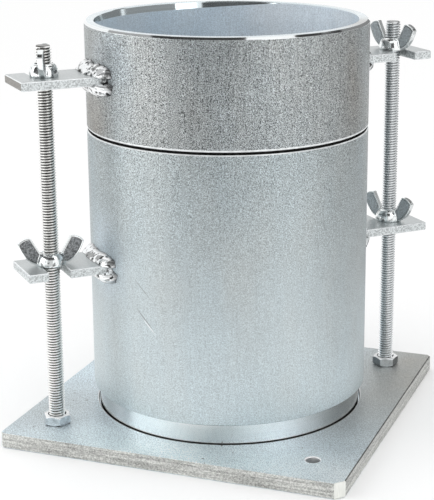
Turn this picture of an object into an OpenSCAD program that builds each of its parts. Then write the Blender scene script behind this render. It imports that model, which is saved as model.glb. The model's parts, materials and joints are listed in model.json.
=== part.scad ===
// Bearing ratio mould: a bored steel tube that stands in a square base plate, with an extension
// collar on top. Two threaded studs rise from opposite corners of the plate. Flat lugs welded to
// the tube and to the collar reach round the studs with slots open at one side, and wing nuts
// clamp them down. The slots of the tube and of the collar open opposite ways, so that either one
// is freed by a turn once its nuts are loose. Millimetres, +Z up, origin at the centre of the
// plate's underside. "Left" and "right" are the stud at -X -Y and the stud at +X +Y.

/* [Mould tube] */
// Bore of the tube and of the collar
bore_d = 152.4; // [150:0.1:155]
// Wall of the tube and of the collar
tube_wall = 6.35; // [5.5:0.05:8]
// Length of the tube, end to end
body_h = 177.8; // [170:0.1:190]
// Wall left where both ends of the tube are turned down
register_wall = 3.2; // [2.4:0.1:4]
// Height of the turned foot that shows above the base plate
foot_band_h = 12.7; // [8:0.1:18]
// Height of the turned spigot that the collar sits over
spigot_h = 6.3; // [4:0.1:9]
// Chamfer on the turned shoulders and on the rims
edge_break = 0.6; // [0.3:0.1:0.8]

/* [Collar] */
// Height of the collar
collar_h = 62.5; // [54:0.1:70]
// Radial clearance between the collar and the spigot
collar_clear = 0.15; // [0.1:0.05:0.3]
// Gap left over the end of the spigot
spigot_gap = 0.4; // [0.1:0.1:1]
// Height of the machined band inside the collar's rim
rim_band_h = 3.3; // [2:0.1:5]
// Depth of that band below the bore's surface
rim_band_relief = 0.4; // [0.2:0.1:0.8]

/* [Base plate] */
// Side of the square plate
plate_side = 206.4; // [203:0.1:216]
// Thickness of the plate
plate_t = 9.5; // [8:0.1:12.7]
// Length cut off each side at the corner towards +X -Y
corner_cut = 4.8; // [2:0.1:8]
// Length cut off each side at the other three corners
corner_break = 2; // [0.5:0.1:4]
// Depth of the recess that the tube stands in
recess_depth = 2.5; // [1.5:0.1:4]
// Radial gap round the foot of the tube in that recess
recess_clear = 0.7; // [0.3:0.1:1.2]
// Diameter of the two free corner holes
corner_hole_d = 8; // [6:0.1:10]
// Countersink round the free corner holes
corner_hole_sink = 0.5; // [0.2:0.1:1]
// Diameter of the soaking holes inside the bore
perforation_d = 1.6; // [1.2:0.1:3]
// Distance between the rings of soaking holes
perforation_step = 20; // [15:0.5:23]
// Number of rings of soaking holes, each with twice the holes of the one inside it
perforation_rings = 3; // [1:1:3]
// Soaking holes in the innermost ring
perforation_first = 4; // [3:1:6]

/* [Studs] */
// Diameter of the circle through the stud centres
stud_circle_d = 222.3; // [216:0.1:226]
// Outside diameter of the thread
stud_d = 9.525; // [8:0.005:10]
// Pitch of the thread
thread_pitch = 1.5875; // [1.25:0.0125:2]
// Radial clearance of every tapped hole over the thread
thread_clear = 0.05; // [0.03:0.01:0.1]
// Length of stud above the top face of the collar lug
stud_above = 17.2; // [12:0.1:24]
// Distance of the stud's foot above the plate's underside
stud_foot = 0.5; // [0.3:0.1:2]
// Chamfer on both ends of a stud
stud_chamfer = 1; // [0.5:0.1:1.5]

/* [Lock nuts] */
// Width across the flats of a lock nut
nut_flats = 14.3; // [13:0.1:16]
// Height of a lock nut
nut_h = 5.6; // [4:0.1:8.4]
// Turn of the left lock nut about its stud
nut_turn_left = 5.4; // [0:0.1:60]
// Turn of the right lock nut about its stud
nut_turn_right = 21.2; // [0:0.1:60]

/* [Lugs] */
// Width of the flat bar
lug_w = 32; // [28:0.1:34]
// Thickness of the flat bar
lug_t = 5; // [4:0.1:6.5]
// Reach of the bar beyond the stud's axis
lug_overhang = 17.8; // [14:0.1:18]
// Width of the slot round the stud
slot_w = 12.7; // [12:0.1:14]
// Height of the tube's lugs, top face above the base plate
body_lug_rise = 97; // [60:0.1:130]
// Drop of the collar's lugs, top face below the collar's rim
collar_lug_drop = 26; // [18:0.1:36]

/* [Welds] */
// Reach of a weld bead along the lug
weld_leg_lug = 8.5; // [5:0.1:9.5]
// Reach of a weld bead up or down the tube
weld_leg_tube = 6.5; // [4:0.1:9]

/* [Wing nuts] */
// Span over the tips of the wings
wing_span = 38; // [34:0.1:40]
// Clear width between the inner corners of the wings
wing_mouth = 23; // [20:0.1:26]
// Height of the inner corner of a wing
wing_h = 16.5; // [14:0.1:20]
// Height of the outer corner of a wing
wing_tip_h = 13; // [10:0.1:13.5]
// Thickness of a wing
wing_t = 3.2; // [2:0.1:4]
// Diameter of the hub at its foot
hub_foot_d = 16.4; // [15.4:0.1:18]
// Diameter of the hub at its top
hub_top_d = 13.4; // [12.6:0.1:15]
// Height of the hub
hub_h = 7.4; // [6:0.1:9]
// Height of the straight rim round the hub's foot
hub_rim_h = 1.4; // [1:0.1:2]
// Edge break on the hub
hub_edge = 0.4; // [0.2:0.1:0.6]
// Rise of the arch that a wing's tip is drawn towards
tip_arch = 1.8; // [0:0.1:3]
// Reach, past the hub's foot, of the point that a wing's outer edge is drawn towards
edge_reach = 6; // [3:0.1:8]
// Height of that point
edge_rise = 4.8; // [3:0.1:6]
// Direction of the wings of the lower left nut, from +X
turn_lower_left = 36; // [0:1:180]
// Direction of the wings of the lower right nut, from +X
turn_lower_right = 155; // [0:1:180]
// Direction of the wings of the upper left nut, from +X
turn_upper_left = 112; // [0:1:180]
// Direction of the wings of the upper right nut, from +X
turn_upper_right = 149; // [0:1:180]

/* [Hidden] */

$fn = 96;

// Which stud a piece belongs to, and which way a slot opens
left = -1;
right = 1;
opens_ccw = 1;
opens_cw = -1;

// Heights
body_z = plate_t - recess_depth;
body_top = body_z + body_h;
seam_z = body_top - spigot_h;
collar_top = seam_z + collar_h;
foot_top = plate_t + foot_band_h;
body_lug_top = plate_t + body_lug_rise;
collar_lug_top = collar_top - collar_lug_drop;
stud_top = collar_lug_top + stud_above;

// Radii
bore_r = bore_d / 2;
tube_r = bore_r + tube_wall;
register_r = bore_r + register_wall;
recess_r = register_r + recess_clear;
stud_r = stud_d / 2;
tapped_r = stud_r + thread_clear;
thread_depth = 0.6134 * thread_pitch;
stud_circle_r = stud_circle_d / 2;
nut_corner_r = nut_flats / 2 / cos(30);
nut_bevel = (nut_corner_r - nut_flats / 2) * tan(30);

// Corner holes and studs lie on the plate's diagonals
hole_offset = stud_circle_r * cos(45);

// A cut runs this far past the faces it goes through
past = 1;

// Angle that a weld bead spans round the tube, as wide as the lug
weld_arc = 2 * asin(lug_w / 2 / (tube_r + weld_leg_lug / 2));
// Roundness of a bead's face: 1 is a quarter ellipse, 2 is flat
weld_power = 1.5;
weld_steps = 6;

steel = [0.70, 0.73, 0.75];
turned_steel = [0.80, 0.82, 0.84];
collar_steel = [0.60, 0.62, 0.63];
plate_steel = [0.72, 0.73, 0.73];
bright_zinc = [0.85, 0.87, 0.88];
weld_metal = [0.78, 0.80, 0.81];

// Point at t on the curve from a to c that is drawn towards b
function bend(a, b, c, t) = (1 - t) * (1 - t) * a + 2 * t * (1 - t) * b + t * t * c;

// Puts a piece on the axis of one stud
module at_stud(side) {
    translate([side * hole_offset, side * hole_offset, 0]) children();
}

// Turns a piece drawn along +X so that it points from the tube's axis to one stud
module towards_stud(side) {
    rotate([0, 0, side == left ? 225 : 45]) children();
}

// The turned tube: both ends are cut down to the register, with chamfered shoulders and rims
module tube_profile() {
    polygon([
        [bore_r, body_z],
        [register_r - edge_break, body_z],
        [register_r, body_z + edge_break],
        [register_r, foot_top - edge_break],
        [tube_r - edge_break, foot_top - edge_break],
        [tube_r, foot_top],
        [tube_r, seam_z - edge_break],
        [tube_r - edge_break, seam_z],
        [register_r, seam_z],
        [register_r, body_top - edge_break],
        [register_r - edge_break, body_top],
        [bore_r + edge_break, body_top],
        [bore_r, body_top - edge_break]
    ]);
}

module mould_body() {
    color(steel) rotate_extrude() tube_profile();
}

// The collar: a rebate below that drops over the spigot, and a machined band inside the rim
module collar_profile() {
    rebate_r = register_r + collar_clear;
    rebate_top = body_top + spigot_gap;
    band_r = bore_r + rim_band_relief;
    polygon([
        [rebate_r, seam_z],
        [tube_r - edge_break, seam_z],
        [tube_r, seam_z + edge_break],
        [tube_r, collar_top - edge_break],
        [tube_r - edge_break, collar_top],
        [band_r + edge_break, collar_top],
        [band_r, collar_top - edge_break],
        [band_r, collar_top - rim_band_h],
        [bore_r, collar_top - rim_band_h - rim_band_relief],
        [bore_r, rebate_top + edge_break],
        [bore_r + edge_break, rebate_top],
        [rebate_r, rebate_top]
    ]);
}

module extension_collar() {
    color(collar_steel) rotate_extrude() collar_profile();
}

module plate_outline() {
    half = plate_side / 2;
    near = half - corner_break;
    cut = half - corner_cut;
    polygon([
        [half, -cut], [half, near], [near, half], [-near, half],
        [-half, near], [-half, -near], [-near, -half], [cut, -half]
    ]);
}

// Rings of soaking holes, each ring with twice the holes of the one inside it
module soaking_holes() {
    for (ring = [1:perforation_rings]) {
        holes = perforation_first * pow(2, ring - 1);
        for (i = [0:holes - 1])
            rotate([0, 0, (i + 0.5) * 360 / holes])
                translate([ring * perforation_step, 0, -past])
                    cylinder(d = perforation_d, h = plate_t + 2 * past, $fn = 24);
    }
}

// A free corner hole, countersunk at the top
module corner_hole() {
    hole_r = corner_hole_d / 2;
    rotate_extrude() polygon([
        [0, -past], [hole_r, -past],
        [hole_r, plate_t - corner_hole_sink],
        [hole_r + corner_hole_sink, plate_t],
        [hole_r + corner_hole_sink, plate_t + past],
        [0, plate_t + past]
    ]);
}

module base_plate() {
    color(plate_steel) difference() {
        linear_extrude(plate_t) plate_outline();
        translate([0, 0, body_z]) cylinder(r = recess_r, h = recess_depth + past);
        for (side = [left, right]) {
            at_stud(side) translate([0, 0, -past]) cylinder(r = tapped_r, h = plate_t + 2 * past);
            translate([side * hole_offset, -side * hole_offset, 0]) corner_hole();
        }
        soaking_holes();
    }
}

// A threaded stud: a V groove at every pitch, between chamfered ends
module stud(side) {
    root_r = stud_r - thread_depth;
    end_r = stud_r - stud_chamfer;
    first = stud_foot + stud_chamfer;
    turns = floor((stud_top - stud_chamfer - first) / thread_pitch);
    ridges = [for (i = [0:turns - 1]) each [
        [stud_r, first + i * thread_pitch],
        [root_r, first + (i + 0.5) * thread_pitch]
    ]];
    color(bright_zinc) at_stud(side) rotate_extrude($fn = 48) polygon(concat(
        [[0, stud_foot], [end_r, stud_foot]],
        ridges,
        [[stud_r, first + turns * thread_pitch], [end_r, stud_top], [0, stud_top]]
    ));
}

module stud_left() { stud(left); }
module stud_right() { stud(right); }

// A hexagon nut with both faces bevelled at the corners, tight on the plate
module lock_nut(side, turn) {
    flat_r = nut_flats / 2;
    color(bright_zinc) at_stud(side) translate([0, 0, plate_t]) rotate([0, 0, turn])
        difference() {
            intersection() {
                cylinder(r = nut_corner_r, h = nut_h, $fn = 6);
                rotate_extrude() polygon([
                    [0, 0], [flat_r, 0], [nut_corner_r, nut_bevel],
                    [nut_corner_r, nut_h - nut_bevel], [flat_r, nut_h], [0, nut_h]
                ]);
            }
            translate([0, 0, -past]) cylinder(r = tapped_r, h = nut_h + 2 * past);
        }
}

module lock_nut_left() { lock_nut(left, nut_turn_left); }
module lock_nut_right() { lock_nut(right, nut_turn_right); }

// A flat bar coped to the tube, with a round-ended slot from the stud's axis to one side
module lug(side, top, opens) {
    towards_stud(side) translate([0, 0, top - lug_t]) difference() {
        translate([0, -lug_w / 2, 0]) cube([stud_circle_r + lug_overhang, lug_w, lug_t]);
        translate([0, 0, -past]) cylinder(r = tube_r, h = lug_t + 2 * past);
        translate([stud_circle_r, 0, -past]) {
            cylinder(d = slot_w, h = lug_t + 2 * past);
            translate([-slot_w / 2, opens == opens_ccw ? 0 : -lug_w, 0])
                cube([slot_w, lug_w, lug_t + 2 * past]);
        }
    }
}

module body_lug_left() { color(steel) lug(left, body_lug_top, opens_ccw); }
module body_lug_right() { color(steel) lug(right, body_lug_top, opens_ccw); }
module collar_lug_left() { color(collar_steel) lug(left, collar_lug_top, opens_cw); }
module collar_lug_right() { color(collar_steel) lug(right, collar_lug_top, opens_cw); }

// A fillet bead that follows the tube across the lug, standing up from height z
module weld_bead(side, z) {
    face = [for (i = [0:weld_steps]) [
        tube_r + weld_leg_lug * pow(cos(i * 90 / weld_steps), weld_power),
        weld_leg_tube * pow(sin(i * 90 / weld_steps), weld_power)
    ]];
    color(weld_metal) towards_stud(side) translate([0, 0, z]) rotate([0, 0, -weld_arc / 2])
        rotate_extrude(angle = weld_arc) polygon(concat([[tube_r, 0]], face));
}

// The bead on a lug's top face, and the one under it
module weld_upper(side, lug_top) { weld_bead(side, lug_top); }
module weld_lower(side, lug_top) {
    translate([0, 0, lug_top - lug_t]) mirror([0, 0, 1]) weld_bead(side, 0);
}

module weld_body_left_upper() { weld_upper(left, body_lug_top); }
module weld_body_left_lower() { weld_lower(left, body_lug_top); }
module weld_body_right_upper() { weld_upper(right, body_lug_top); }
module weld_body_right_lower() { weld_lower(right, body_lug_top); }
module weld_collar_left_upper() { weld_upper(left, collar_lug_top); }
module weld_collar_left_lower() { weld_lower(left, collar_lug_top); }
module weld_collar_right_upper() { weld_upper(right, collar_lug_top); }
module weld_collar_right_lower() { weld_lower(right, collar_lug_top); }

// One wing, in the upright plane through the hub's axis: a straight inner edge, an arched tip
// and an outer edge that sweeps down into the foot of the hub
module wing_outline() {
    foot = [hub_foot_d / 2 - hub_edge, hub_rim_h / 2];
    root = [hub_top_d / 2 - 2 * hub_edge, hub_h - 2 * hub_edge];
    inner_tip = [wing_mouth / 2, wing_h];
    outer_tip = [wing_span / 2, wing_tip_h];
    tip_pull = (inner_tip + outer_tip) / 2 + [tip_arch / 2, tip_arch];
    edge_pull = [hub_foot_d / 2 + edge_reach, edge_rise];
    steps = 6;
    polygon(concat(
        [[stud_r, foot[1]], [stud_r, root[1]], root],
        [for (i = [0:steps]) bend(inner_tip, tip_pull, outer_tip, i / steps)],
        [for (i = [1:steps]) bend(outer_tip, edge_pull, foot, i / steps)]
    ));
}

// A wing nut that stands on a lug's top face
module wing_nut(side, z, turn) {
    foot_r = hub_foot_d / 2;
    top_r = hub_top_d / 2;
    color(bright_zinc) at_stud(side) translate([0, 0, z]) rotate([0, 0, turn])
        difference() {
            union() {
                rotate_extrude() polygon([
                    [0, 0], [foot_r - hub_edge, 0], [foot_r, hub_edge], [foot_r, hub_rim_h],
                    [top_r + hub_edge, hub_rim_h + 2 * hub_edge], [top_r, hub_h - hub_edge],
                    [top_r - hub_edge, hub_h], [0, hub_h]
                ]);
                for (half = [0, 180])
                    rotate([90, 0, half]) translate([0, 0, -wing_t / 2])
                        linear_extrude(wing_t) wing_outline();
            }
            translate([0, 0, -past]) cylinder(r = tapped_r, h = hub_h + 2 * past);
        }
}

module wing_nut_lower_left() { wing_nut(left, body_lug_top, turn_lower_left); }
module wing_nut_lower_right() { wing_nut(right, body_lug_top, turn_lower_right); }
module wing_nut_upper_left() { wing_nut(left, collar_lug_top, turn_upper_left); }
module wing_nut_upper_right() { wing_nut(right, collar_lug_top, turn_upper_right); }

base_plate();
mould_body();
extension_collar();
stud_left();
stud_right();
lock_nut_left();
lock_nut_right();
body_lug_left();
body_lug_right();
collar_lug_left();
collar_lug_right();
weld_body_left_upper();
weld_body_left_lower();
weld_body_right_upper();
weld_body_right_lower();
weld_collar_left_upper();
weld_collar_left_lower();
weld_collar_right_upper();
weld_collar_right_lower();
wing_nut_lower_left();
wing_nut_lower_right();
wing_nut_upper_left();
wing_nut_upper_right();
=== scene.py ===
"""A bearing ratio mould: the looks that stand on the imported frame.

Everything is in metres, +Z up, with the origin at the centre of the base plate's underside. Sizes come
from the frame where it has them, and the rest are named below.
"""
import json
from math import asin, atan2, ceil, copysign, cos, pi, radians, sin, sqrt, tan

import bmesh
import bpy
from mathutils import Matrix, Vector, geometry, noise


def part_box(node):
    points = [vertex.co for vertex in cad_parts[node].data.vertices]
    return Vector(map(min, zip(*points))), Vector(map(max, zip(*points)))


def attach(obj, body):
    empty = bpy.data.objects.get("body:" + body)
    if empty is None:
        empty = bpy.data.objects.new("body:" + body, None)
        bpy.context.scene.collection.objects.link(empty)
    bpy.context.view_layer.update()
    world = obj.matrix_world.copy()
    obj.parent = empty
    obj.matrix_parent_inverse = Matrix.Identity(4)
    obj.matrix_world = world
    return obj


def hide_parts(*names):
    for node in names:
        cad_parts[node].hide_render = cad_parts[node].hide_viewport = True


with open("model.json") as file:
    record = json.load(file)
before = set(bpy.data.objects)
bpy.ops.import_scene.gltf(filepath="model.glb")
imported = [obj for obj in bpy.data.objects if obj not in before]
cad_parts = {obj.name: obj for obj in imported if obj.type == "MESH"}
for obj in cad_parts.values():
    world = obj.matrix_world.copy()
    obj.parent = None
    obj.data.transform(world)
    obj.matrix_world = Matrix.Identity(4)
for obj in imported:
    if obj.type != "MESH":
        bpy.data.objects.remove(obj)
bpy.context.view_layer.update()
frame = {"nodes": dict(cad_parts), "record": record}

MM = 0.001


def mount(name):
    return next(m for m in frame["record"]["mounts"] if m["name"] == name)


def heights(node):
    low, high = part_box(node)
    return low.z, high.z


# Sizes that the frame gives
PLATE_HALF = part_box("base_plate")[1].x
PLATE_TOP = heights("base_plate")[1]
TUBE_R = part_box("mould_body")[1].x
TUBE_BOTTOM, TUBE_TOP = heights("mould_body")
SEAM_Z, COLLAR_TOP = heights("extension_collar")
BORE_R = mount("mould_bore")["dims"]["r_mm"] * MM
CORNER_HOLE_R = mount("corner_holes")["dims"]["hole_r_mm"] * MM
STUD_CIRCLE_R = mount("corner_holes")["dims"]["pcd_mm"] / 2 * MM
STUD_BOTTOM, STUD_TOP = heights("stud_left")
STUD_R = (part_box("stud_left")[1].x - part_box("stud_left")[0].x) / 2
LUG_THICK = heights("body_lug_left")[1] - heights("body_lug_left")[0]

# Sizes that repeat the construction's
REGISTER_R = BORE_R + 3.2 * MM
RECESS_R = REGISTER_R + 0.7 * MM
FOOT_TOP = PLATE_TOP + 12.7 * MM
EDGE_BREAK = 0.6 * MM
COLLAR_CLEAR = 0.15 * MM
SPIGOT_GAP = 0.4 * MM
CORNER_CUT = 4.8 * MM
CORNER_BREAK = 2.0 * MM
SOAKING_R = 0.8 * MM
SOAKING_STEP = 20 * MM
SOAKING_RINGS = 3
SOAKING_FIRST = 4
PITCH = 1.5875 * MM
THREAD_DEPTH = 0.6134 * PITCH
TAPPED_R = STUD_R + 0.05 * MM
STUD_CHAMFER = 1 * MM
NUT_FLATS = 14.3 * MM
LUG_W = 32 * MM
LUG_END = STUD_CIRCLE_R + 17.8 * MM
SLOT_R = 6.35 * MM
WELD_ALONG = 7.2 * MM
WELD_UP = 6.5 * MM
WING_SPAN = 38 * MM
WING_MOUTH = 23 * MM
WING_H = 16.5 * MM
WING_TIP_H = 13 * MM
WING_T = 3.2 * MM
HUB_FOOT_R = 8.2 * MM
HUB_TOP_R = 6.7 * MM
HUB_H = 7.4 * MM
HUB_RIM = 1.4 * MM
HUB_EDGE = 0.4 * MM

# Fine forms that only the looks have
SEAM_GAP = 1.45 * MM
SEAM_DEPTH = 2.2 * MM
GROOVE_R = TUBE_R - SEAM_DEPTH
GROOVE_LOW = SEAM_Z - SEAM_GAP / 2
GROOVE_HIGH = SEAM_Z + SEAM_GAP / 2
TURNED_CORNER = 0.25 * MM
WORN_EDGE = 0.5 * MM
WORN_BAND = 0.7 * MM
# How far above the plate's top the tube's foot is painted dark as shade
PAINTED_SHADE_RISE = 0.45 * MM
RIM_CHAMFER = 1.3 * MM
RIM_CONE = 0.2
CONE_DEEPEST = 4.4 * MM
CONE_LEAST = 0.4 * MM
CONE_FALL = 7.5 * MM
CONE_PLACE = radians(145)
SAWN_EDGE = 0.7 * MM
FINE_EDGE = 0.15 * MM
LIP = 0.9 * MM
HOLE_LIP = 0.7 * MM
NUT_RIM = 0.5 * MM
LUG_EDGE = 0.5 * MM
WELD_LUMP = 0.9 * MM
WING_VOXEL = 0.3 * MM
SCRATCH_HALF_W = 0.42 * MM
SCRATCH_REACH = 3 * MM

# How finely round forms are cut
ROUND = 288
SMALL_ROUND = 48
TINY_ROUND = 20
STUD_SIDES = 36
HUB_SIDES = 96
NUT_STEPS = 60
LUG_STEPS = 24
CARD_STEPS = 12

# The side of the tube that each stud stands on, as an angle about the tube's axis
SIDES = {"left": radians(225), "right": radians(45)}

# How large the beads are on the body and on the collar, above (1) and below (-1) a lug
WELD_SIZES = {("body", 1): 0.9, ("body", -1): 1.2, ("collar", 1): 1, ("collar", -1): 1.2}

# Colours of the metal
# Painted light: the body's colour at its foot, lighter than at its top, as light from the floor
BOTTOM_LIT_ZINC = (0.64, 0.716, 0.74)
FOOT_BRIGHT = (0.95, 0.99, 1)
TUBE_ZINC = (0.46, 0.51, 0.525)
COLLAR_ZINC = (0.41, 0.44, 0.447)
TURNED_ZINC = (0.76, 0.84, 0.87)
BORE_ZINC = (0.53, 0.62, 0.69)
# A pale wear colour, also used to paint highlights along edges
WORN_AND_HIGHLIGHT_ZINC = (0.86, 0.89, 0.9)
BAR_ZINC = (0.58, 0.61, 0.615)
BROWN_ZINC = (0.33, 0.312, 0.285)
BLUE_ZINC = (0.68, 0.76, 0.82)
SCRATCH_DARK = (0.3, 0.32, 0.32)
NEAR_BLACK = (0.03, 0.03, 0.03)

# The parts of a noise's range that a pattern is stretched from
NARROW = (0.35, 0.65)
WIDE = (0.3, 0.7)


def polar(radius, angle, centre=(0, 0)):
    """The point at a distance and an angle from a centre, seen from above."""
    return Vector((centre[0] + radius * cos(angle), centre[1] + radius * sin(angle)))


def at_stud(side):
    return polar(STUD_CIRCLE_R, SIDES[side])


def free_hole(side):
    """The corner hole a quarter turn on from a stud."""
    return polar(STUD_CIRCLE_R, SIDES[side] + pi / 2)


def on_plate(x, y):
    """A place on the plate's top, in shares of its half width."""
    return x * PLATE_HALF, y * PLATE_HALF, PLATE_TOP


def on_tube(angle, height):
    """A place on the tube's outside, at an angle from the left stud's side."""
    return (*polar(TUBE_R, SIDES["left"] + radians(angle)), height)


def bend(a, b, c, t):
    """The point at t on the curve from a to c that is drawn towards b."""
    return a * (1 - t) ** 2 + b * 2 * t * (1 - t) + c * t * t


def smoothstep(low, high, value):
    t = min(max((value - low) / (high - low), 0), 1)
    return t * t * (3 - 2 * t)


def rounded(corners, radius, steps=4):
    """A closed outline with each corner that turns replaced by a small curve."""
    corners = [Vector(c) for c in corners]
    points = []
    for i, corner in enumerate(corners):
        before = corners[i - 1] - corner
        after = corners[(i + 1) % len(corners)] - corner
        angle = before.angle(after)
        if angle > radians(176):
            points.append(corner)
            continue
        cut = min(radius / tan(angle / 2), 0.4 * before.length, 0.4 * after.length)
        start, end = corner + before.normalized() * cut, corner + after.normalized() * cut
        points += [bend(start, corner, end, k / steps) for k in range(steps + 1)]
    return points


def circle(radius, centre=(0, 0), sides=ROUND, clockwise=False):
    step = (-1 if clockwise else 1) * 2 * pi / sides
    return [polar(radius, step * i, centre) for i in range(sides)]


def inset(loop, distance):
    """A closed loop moved to the left of its direction, which is into the material."""
    moved = []
    for i, point in enumerate(loop):
        before = (point - loop[i - 1]).normalized()
        after = (loop[(i + 1) % len(loop)] - point).normalized()
        normal = Vector((-before.y - after.y, before.x + after.x)).normalized()
        stretch = max(normal.dot(Vector((-after.y, after.x))), 0.5)
        moved.append(point + normal * (distance / stretch))
    return moved


def placed(name, data):
    """A new object in the scene."""
    item = bpy.data.objects.new(name, data)
    bpy.context.scene.collection.objects.link(item)
    return item


def finish_mesh(name, bm, crease=35):
    """Makes the object, with smooth faces and sharp creases."""
    bmesh.ops.remove_doubles(bm, verts=bm.verts, dist=1e-6)
    bmesh.ops.recalc_face_normals(bm, faces=bm.faces)
    mesh = bpy.data.meshes.new(name)
    bm.to_mesh(mesh)
    bm.free()
    mesh.polygons.foreach_set("use_smooth", [True] * len(mesh.polygons))
    mesh.set_sharp_from_angle(angle=radians(crease))
    return placed(name, mesh)


def apply_modifiers(piece):
    bpy.context.view_layer.update()
    depsgraph = bpy.context.evaluated_depsgraph_get()
    mesh = bpy.data.meshes.new_from_object(piece.evaluated_get(depsgraph), depsgraph=depsgraph)
    piece.modifiers.clear()
    piece.data = mesh
    return piece


def weigh_normals(piece):
    """Lets the large faces lead the normals, so that flats shade flat beside small rounded edges."""
    piece.modifiers.new("weighted", "WEIGHTED_NORMAL").keep_sharp = True
    return apply_modifiers(piece)


def skin(bm, rings, closed=True):
    """Joins each ring of points to the next one, and where the form is closed, the last to the first."""
    for here, there in zip(rings, rings[1:] + rings[:1] if closed else rings[1:]):
        for j in range(len(here)):
            k = (j + 1) % len(here)
            bm.faces.new((here[j], there[j], there[k], here[k]))


def spin(bm, outline, sides=ROUND, centre=(0, 0), turn=0):
    """Turns a closed outline of (radius, height), or one that depends on the angle, about an upright axis."""
    rings = []
    for i in range(sides):
        angle = 2 * pi * i / sides
        points = outline(angle) if callable(outline) else outline
        rings.append([bm.verts.new((*polar(radius, angle + turn, centre), z)) for radius, z in points])
    skin(bm, rings)


def lathe(name, outline):
    bm = bmesh.new()
    spin(bm, outline)
    return weigh_normals(finish_mesh(name, bm))


def wall(bm, loop, bottom, top, edge_bottom, edge_top, steps=3):
    """An upright wall along a loop, with rounded edges. Returns its lowest and highest edges."""
    arc = [pi / 2 * k / steps for k in range(steps + 1)]
    levels = [(bottom + edge_bottom * (1 - cos(a)), edge_bottom * (1 - sin(a))) for a in arc]
    levels += [(top - edge_top * (1 - sin(a)), edge_top * (1 - cos(a))) for a in arc]
    rings = [[bm.verts.new((p.x, p.y, z)) for p in inset(loop, depth)] for z, depth in levels]
    skin(bm, rings, closed=False)
    return [[bm.edges.get(pair) for pair in zip(ring[-1:] + ring, ring)] for ring in (rings[0], rings[-1])]


def cap(bm, *rings):
    """Fills the area between loops of edges."""
    bmesh.ops.triangle_fill(bm, edges=[e for ring in rings for e in ring], use_beauty=True)


def plate_outline():
    cut, near = PLATE_HALF - CORNER_CUT, PLATE_HALF - CORNER_BREAK
    return rounded([
        (PLATE_HALF, -cut), (PLATE_HALF, near), (near, PLATE_HALF), (-near, PLATE_HALF),
        (-PLATE_HALF, near), (-PLATE_HALF, -near), (-near, -PLATE_HALF), (cut, -PLATE_HALF),
    ], 0.5 * MM, steps=3)


def soaking_holes():
    for ring in range(1, SOAKING_RINGS + 1):
        holes = SOAKING_FIRST * 2 ** (ring - 1)
        for i in range(holes):
            yield polar(ring * SOAKING_STEP, 2 * pi * (i + 0.5) / holes)


def base_plate():
    bm = bmesh.new()
    through = [wall(bm, plate_outline(), 0, PLATE_TOP, SAWN_EDGE, SAWN_EDGE)]
    for side in SIDES:
        tapped = circle(TAPPED_R, at_stud(side), SMALL_ROUND, True)
        through.append(wall(bm, tapped, 0, PLATE_TOP, HOLE_LIP, FINE_EDGE))
        free = circle(CORNER_HOLE_R, free_hole(side), SMALL_ROUND, True)
        through.append(wall(bm, free, 0, PLATE_TOP, FINE_EDGE, HOLE_LIP))
    floor, mouth = wall(bm, circle(RECESS_R, clockwise=True), TUBE_BOTTOM, PLATE_TOP, FINE_EDGE / 3, LIP)
    soaking = [wall(bm, circle(SOAKING_R, centre, TINY_ROUND, True), 0, TUBE_BOTTOM, FINE_EDGE, FINE_EDGE)
               for centre in soaking_holes()]
    cap(bm, *(low for low, high in through + soaking))
    cap(bm, *(high for low, high in through), mouth)
    cap(bm, floor, *(high for low, high in soaking))
    return weigh_normals(finish_mesh("plate", bm))


def mould_tube():
    outline = [
        (BORE_R, TUBE_BOTTOM), (REGISTER_R - EDGE_BREAK, TUBE_BOTTOM), (REGISTER_R, TUBE_BOTTOM + EDGE_BREAK),
        (REGISTER_R, PLATE_TOP + PAINTED_SHADE_RISE),
        (REGISTER_R, FOOT_TOP - EDGE_BREAK), (TUBE_R - EDGE_BREAK, FOOT_TOP - EDGE_BREAK), (TUBE_R, FOOT_TOP),
        (TUBE_R, GROOVE_LOW - WORN_EDGE), (TUBE_R - WORN_EDGE, GROOVE_LOW), (GROOVE_R, GROOVE_LOW),
        (GROOVE_R, SEAM_Z), (REGISTER_R, SEAM_Z),
        (REGISTER_R, TUBE_TOP - EDGE_BREAK), (REGISTER_R - EDGE_BREAK, TUBE_TOP),
        (BORE_R + EDGE_BREAK, TUBE_TOP), (BORE_R, TUBE_TOP - EDGE_BREAK),
    ]
    return lathe("tube", rounded(outline, TURNED_CORNER, steps=3))


def collar_outline(angle):
    """The collar's section: the cone inside its rim is cut off centre, and runs out on one side."""
    rebate_r = REGISTER_R + COLLAR_CLEAR
    rebate_top = TUBE_TOP + SPIGOT_GAP
    away = (angle - CONE_PLACE + pi) % (2 * pi) - pi
    fall = CONE_FALL * (1 - cos(away if away < 0 else 0.5 * away))
    band = max(CONE_DEEPEST - fall, CONE_LEAST)
    band_r = BORE_R + band * RIM_CONE
    return rounded([
        (rebate_r, SEAM_Z), (GROOVE_R, SEAM_Z), (GROOVE_R, GROOVE_HIGH), (TUBE_R - WORN_EDGE, GROOVE_HIGH),
        (TUBE_R, GROOVE_HIGH + WORN_EDGE), (TUBE_R, GROOVE_HIGH + WORN_EDGE + WORN_BAND),
        (TUBE_R, COLLAR_TOP - RIM_CHAMFER), (TUBE_R - RIM_CHAMFER, COLLAR_TOP),
        (band_r + WORN_EDGE, COLLAR_TOP), (band_r, COLLAR_TOP - WORN_EDGE), (BORE_R, COLLAR_TOP - band),
        (BORE_R, rebate_top + EDGE_BREAK), (BORE_R + EDGE_BREAK, rebate_top), (rebate_r, rebate_top),
    ], TURNED_CORNER, steps=3)


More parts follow.
